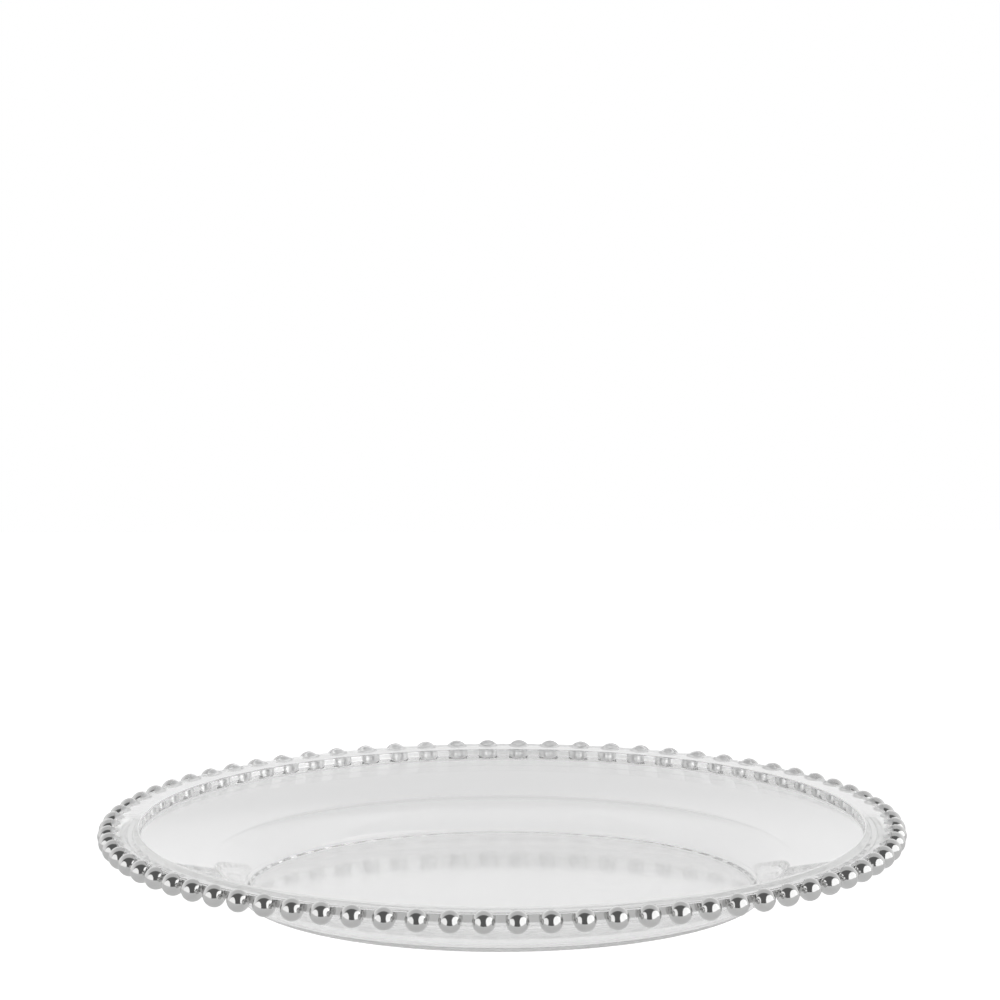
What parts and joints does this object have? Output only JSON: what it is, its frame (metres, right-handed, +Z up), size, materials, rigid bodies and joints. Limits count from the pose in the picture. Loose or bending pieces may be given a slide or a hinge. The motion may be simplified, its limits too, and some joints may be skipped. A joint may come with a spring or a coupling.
{
  "type": "charger plate",
  "caption": "Round clear glass charger plate with a flat well, a sloping rim and a raised lip edged with silvered beads, which stands under a dinner plate.",
  "frame": {"origin": "centre of the flat underside, on the table", "axes": "+Z up along the plate's round axis; X and Y run through gaps between beads"},
  "size_m": [0.3298, 0.3298, 0.0297],
  "materials": {
    "clear_glass": "pressed and fire polished, clear and colourless",
    "silver_lustre": "bright silver layer on the beads"
  },
  "bodies": {
    "root": {"glass_plate": "clear_glass", "silver_bead_pair_01": "silver_lustre", "silver_bead_pair_02": "silver_lustre", "silver_bead_pair_03": "silver_lustre", "silver_bead_pair_04": "silver_lustre", "silver_bead_pair_05": "silver_lustre", "silver_bead_pair_06": "silver_lustre", "silver_bead_pair_07": "silver_lustre", "silver_bead_pair_08": "silver_lustre", "silver_bead_pair_09": "silver_lustre", "silver_bead_pair_10": "silver_lustre", "silver_bead_pair_11": "silver_lustre", "silver_bead_pair_12": "silver_lustre", "silver_bead_pair_13": "silver_lustre", "silver_bead_pair_14": "silver_lustre", "silver_bead_pair_15": "silver_lustre", "silver_bead_pair_16": "silver_lustre", "silver_bead_pair_17": "silver_lustre", "silver_bead_pair_18": "silver_lustre", "silver_bead_pair_19": "silver_lustre", "silver_bead_pair_20": "silver_lustre", "silver_bead_pair_21": "silver_lustre", "silver_bead_pair_22": "silver_lustre", "silver_bead_pair_23": "silver_lustre", "silver_bead_pair_24": "silver_lustre", "silver_bead_pair_25": "silver_lustre", "silver_bead_pair_26": "silver_lustre", "silver_bead_pair_27": "silver_lustre", "silver_bead_pair_28": "silver_lustre", "silver_bead_pair_29": "silver_lustre", "silver_bead_pair_30": "silver_lustre", "silver_bead_pair_31": "silver_lustre", "silver_bead_pair_32": "silver_lustre", "silver_bead_pair_33": "silver_lustre", "silver_bead_pair_34": "silver_lustre", "silver_bead_pair_35": "silver_lustre", "silver_bead_pair_36": "silver_lustre", "silver_bead_pair_37": "silver_lustre", "silver_bead_pair_38": "silver_lustre"}
  },
  "joints": []
}
